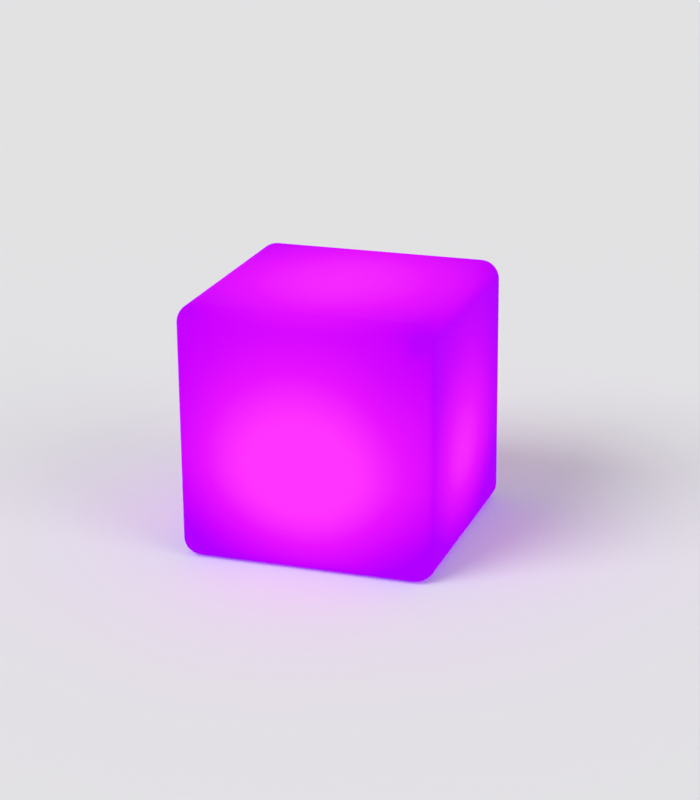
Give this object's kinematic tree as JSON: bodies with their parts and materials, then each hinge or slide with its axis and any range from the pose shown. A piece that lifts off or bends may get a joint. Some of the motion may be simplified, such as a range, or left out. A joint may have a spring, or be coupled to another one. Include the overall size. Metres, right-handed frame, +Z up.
{
  "type": "led cube light",
  "caption": "Glowing cube lamp for garden or patio: a hollow white shell with softly rounded edges over a round, screwed-in, rechargeable light module with a push switch and charging socket.",
  "frame": {"origin": "centre of the cube's underside, on the floor", "axes": "+Z up out of the top face, -Y out of the front face, +X to the right of the front face"},
  "size_m": [0.4, 0.4, 0.4],
  "materials": {
    "frosted_polyethylene": "rotationally moulded white polyethylene, satin, lit from inside",
    "insert_brass": "knurled brass",
    "seal_rubber": "soft pale rubber sheet",
    "stainless_steel": "stainless steel",
    "housing_plastic": "white moulded ABS",
    "dome_plastic": "frosted polycarbonate",
    "carrier_plastic": "grey-white moulded ABS",
    "white_board": "aluminium-core board with white solder mask",
    "led_package": "white package with phosphor",
    "receiver_black": "dark infra-red resin",
    "cell_steel": "nickel-plated steel can",
    "wrap_plastic": "blue heat-shrink sleeve",
    "nickel": "nickel strip",
    "foam": "closed-cell foam",
    "green_board": "glass-epoxy board with green solder mask",
    "chip_black": "moulded chip package",
    "capacitor_can": "aluminium can",
    "connector_nylon": "natural nylon",
    "clear_plastic": "clear acrylic",
    "fitting_black": "black nylon",
    "seal_black": "black nitrile rubber",
    "button_grey": "grey plastic",
    "spring_steel": "stainless spring wire",
    "tinned_brass": "tinned brass",
    "stopper_rubber": "soft black silicone rubber",
    "wire_red": "silicone-insulated wire",
    "wire_blue": "silicone-insulated wire",
    "wire_black": "silicone-insulated wire",
    "wire_white": "silicone-insulated wire"
  },
  "bodies": {
    "lamp": {"shell": "frosted_polyethylene", "threaded_inserts": "insert_brass", "module_gasket": "seal_rubber", "module_screws": "stainless_steel", "base_housing": "housing_plastic", "cover_gasket": "seal_rubber", "light_cover": "dome_plastic", "cover_screws": "stainless_steel", "light_carrier": "carrier_plastic", "light_board": "white_board", "led_chips": "led_package", "remote_receiver": "receiver_black", "light_board_screws": "stainless_steel", "battery_cells": "cell_steel", "battery_wrap": "wrap_plastic", "battery_tabs": "nickel", "battery_pad": "foam", "battery_strap": "carrier_plastic", "strap_screws": "stainless_steel", "control_board": "green_board", "control_board_screws": "stainless_steel", "control_chips": "chip_black", "capacitors": "capacitor_can", "charging_coil": "chip_black", "wire_connectors": "connector_nylon", "charge_light_pipe": "clear_plastic", "charge_led": "led_package", "switch_body": "fitting_black", "switch_nut": "fitting_black", "switch_seal": "seal_black", "button_spring": "spring_steel", "switch_terminals": "tinned_brass", "charge_socket": "fitting_black", "socket_nut": "fitting_black", "socket_seal": "seal_black", "socket_pin": "tinned_brass", "socket_terminals": "tinned_brass", "stopper_tether": "stopper_rubber", "tether_screw": "stainless_steel", "battery_leads": "wire_red", "switch_leads": "wire_blue", "socket_leads": "wire_black", "light_leads": "wire_white"},
    "button": {"power_button": "button_grey"},
    "stopper": {"charge_stopper": "stopper_rubber"}
  },
  "joints": [
    {"name": "button_press", "type": "slide", "parent": "lamp", "child": "button", "axis": [0, 0, 1], "range_m": [0, 0.0025], "stiffness_N_per_m": 600, "springref_m": -0.002, "deforming": ["button_spring"]},
    {"name": "stopper_pull", "type": "slide", "parent": "lamp", "child": "stopper", "axis": [0, 0, -1], "range_m": [0, 0.012], "deforming": ["stopper_tether"]}
  ]
}
